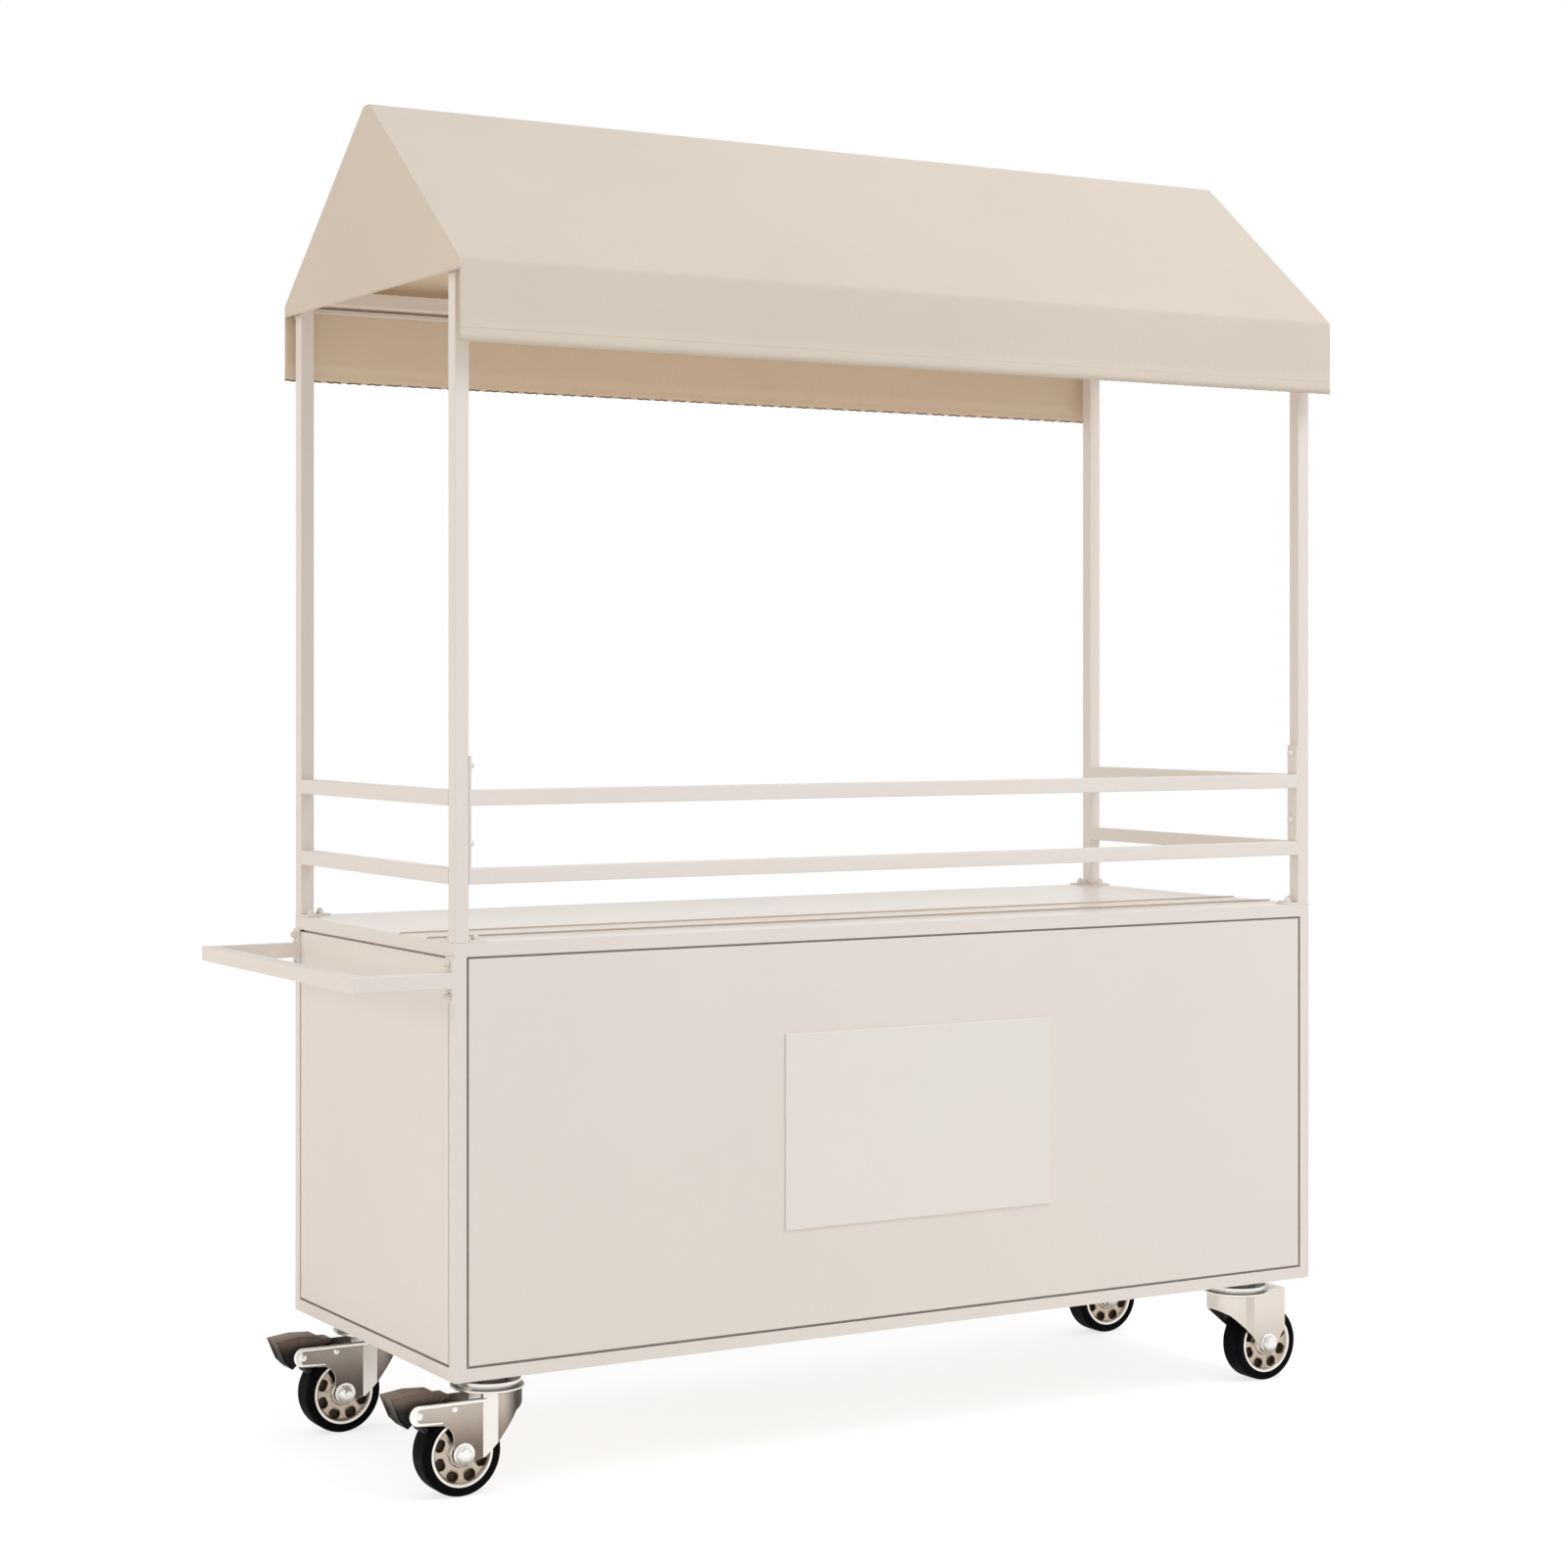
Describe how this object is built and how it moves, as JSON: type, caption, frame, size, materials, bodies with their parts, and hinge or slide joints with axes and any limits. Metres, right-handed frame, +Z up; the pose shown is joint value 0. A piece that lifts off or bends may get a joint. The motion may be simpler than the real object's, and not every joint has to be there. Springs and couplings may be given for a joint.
{
  "type": "street vendor cart",
  "caption": "Street vendor cart: closed cabinet on swivel casters, counter with guard rails, corner posts and a gabled cloth canopy, with a push handle at one end.",
  "frame": {"origin": "middle of the overall box, at floor level", "axes": "+X along the cart away from the push handle, +Y from the closed front with the plate to the open back, +Z up"},
  "size_m": [1.7814, 0.656, 2.0694],
  "materials": {
    "cream_paint": "satin",
    "plate_paint": "satin",
    "canopy_cloth": "matte",
    "dome_nut_metal": "satin",
    "zinc_steel": "satin",
    "rim_metal": "satin",
    "tyre_rubber": "matte",
    "pedal_plastic": "matte"
  },
  "bodies": {
    "cart": {"canopy_eave_rods": "cream_paint", "canopy_end_tubes": "cream_paint", "canopy_gable_left": "canopy_cloth", "canopy_gable_right": "canopy_cloth", "canopy_long_tubes": "cream_paint", "canopy_rafters": "cream_paint", "canopy_ridge_tube": "cream_paint", "canopy_slope_back": "canopy_cloth", "canopy_slope_front": "canopy_cloth", "canopy_valance_back": "canopy_cloth", "canopy_valance_front": "canopy_cloth", "caster_kingpins": "zinc_steel", "caster_plate_bolts": "zinc_steel", "caster_top_plates": "zinc_steel", "counter_bearers": "cream_paint", "counter_front_board": "cream_paint", "counter_middle_board": "cream_paint", "counter_rear_board": "cream_paint", "floor_cross_tubes": "cream_paint", "floor_panel": "cream_paint", "frame_bottom_rails": "cream_paint", "frame_top_rails": "cream_paint", "frame_uprights": "cream_paint", "front_panel": "cream_paint", "front_plate": "plate_paint", "front_rail_end_plates": "cream_paint", "front_rail_nuts": "dome_nut_metal", "front_rails": "cream_paint", "handle_nuts": "dome_nut_metal", "left_panel": "cream_paint", "middle_shelf": "cream_paint", "post_feet": "cream_paint", "post_foot_nuts": "dome_nut_metal", "posts": "cream_paint", "push_handle": "cream_paint", "right_panel": "cream_paint", "shelf_ledges": "cream_paint", "side_rails": "cream_paint"},
    "swivel_front_left": {"caster_fork_front_left": "zinc_steel", "caster_axle_front_left": "zinc_steel"},
    "wheel_front_left": {"caster_rim_front_left": "rim_metal", "caster_tyre_front_left": "tyre_rubber"},
    "pedal_front_left": {"brake_pedal_front_left": "pedal_plastic"},
    "swivel_rear_left": {"caster_fork_rear_left": "zinc_steel", "caster_axle_rear_left": "zinc_steel"},
    "wheel_rear_left": {"caster_rim_rear_left": "rim_metal", "caster_tyre_rear_left": "tyre_rubber"},
    "pedal_rear_left": {"brake_pedal_rear_left": "pedal_plastic"},
    "swivel_front_right": {"caster_fork_front_right": "zinc_steel", "caster_axle_front_right": "zinc_steel"},
    "wheel_front_right": {"caster_rim_front_right": "rim_metal", "caster_tyre_front_right": "tyre_rubber"},
    "swivel_rear_right": {"caster_fork_rear_right": "zinc_steel", "caster_axle_rear_right": "zinc_steel"},
    "wheel_rear_right": {"caster_rim_rear_right": "rim_metal", "caster_tyre_rear_right": "tyre_rubber"}
  },
  "joints": [
    {"name": "swivel_front_left", "type": "hinge", "parent": "cart", "child": "swivel_front_left", "pos_m": [-0.64075, -0.2075, 0.166], "axis": [0, 0, 1], "continuous": true},
    {"name": "wheel_spin_front_left", "type": "hinge", "parent": "swivel_front_left", "child": "wheel_front_left", "pos_m": [-0.69075, -0.2075, 0.0635], "axis": [0, 1, 0], "continuous": true},
    {"name": "brake_front_left", "type": "hinge", "parent": "swivel_front_left", "child": "pedal_front_left", "pos_m": [-0.76275, -0.2075, 0.1275], "axis": [0, -1, 0], "range_deg": [0, 18]},
    {"name": "swivel_rear_left", "type": "hinge", "parent": "cart", "child": "swivel_rear_left", "pos_m": [-0.64075, 0.2305, 0.166], "axis": [0, 0, 1], "continuous": true},
    {"name": "wheel_spin_rear_left", "type": "hinge", "parent": "swivel_rear_left", "child": "wheel_rear_left", "pos_m": [-0.69075, 0.2305, 0.0635], "axis": [0, 1, 0], "continuous": true},
    {"name": "brake_rear_left", "type": "hinge", "parent": "swivel_rear_left", "child": "pedal_rear_left", "pos_m": [-0.76275, 0.2305, 0.1275], "axis": [0, -1, 0], "range_deg": [0, 18]},
    {"name": "swivel_front_right", "type": "hinge", "parent": "cart", "child": "swivel_front_right", "pos_m": [0.77725, -0.2075, 0.166], "axis": [0, 0, 1], "continuous": true},
    {"name": "wheel_spin_front_right", "type": "hinge", "parent": "swivel_front_right", "child": "wheel_front_right", "pos_m": [0.82725, -0.2075, 0.0635], "axis": [0, 1, 0], "continuous": true},
    {"name": "swivel_rear_right", "type": "hinge", "parent": "cart", "child": "swivel_rear_right", "pos_m": [0.77725, 0.2305, 0.166], "axis": [0, 0, 1], "continuous": true},
    {"name": "wheel_spin_rear_right", "type": "hinge", "parent": "swivel_rear_right", "child": "wheel_rear_right", "pos_m": [0.82725, 0.2305, 0.0635], "axis": [0, 1, 0], "continuous": true}
  ]
}
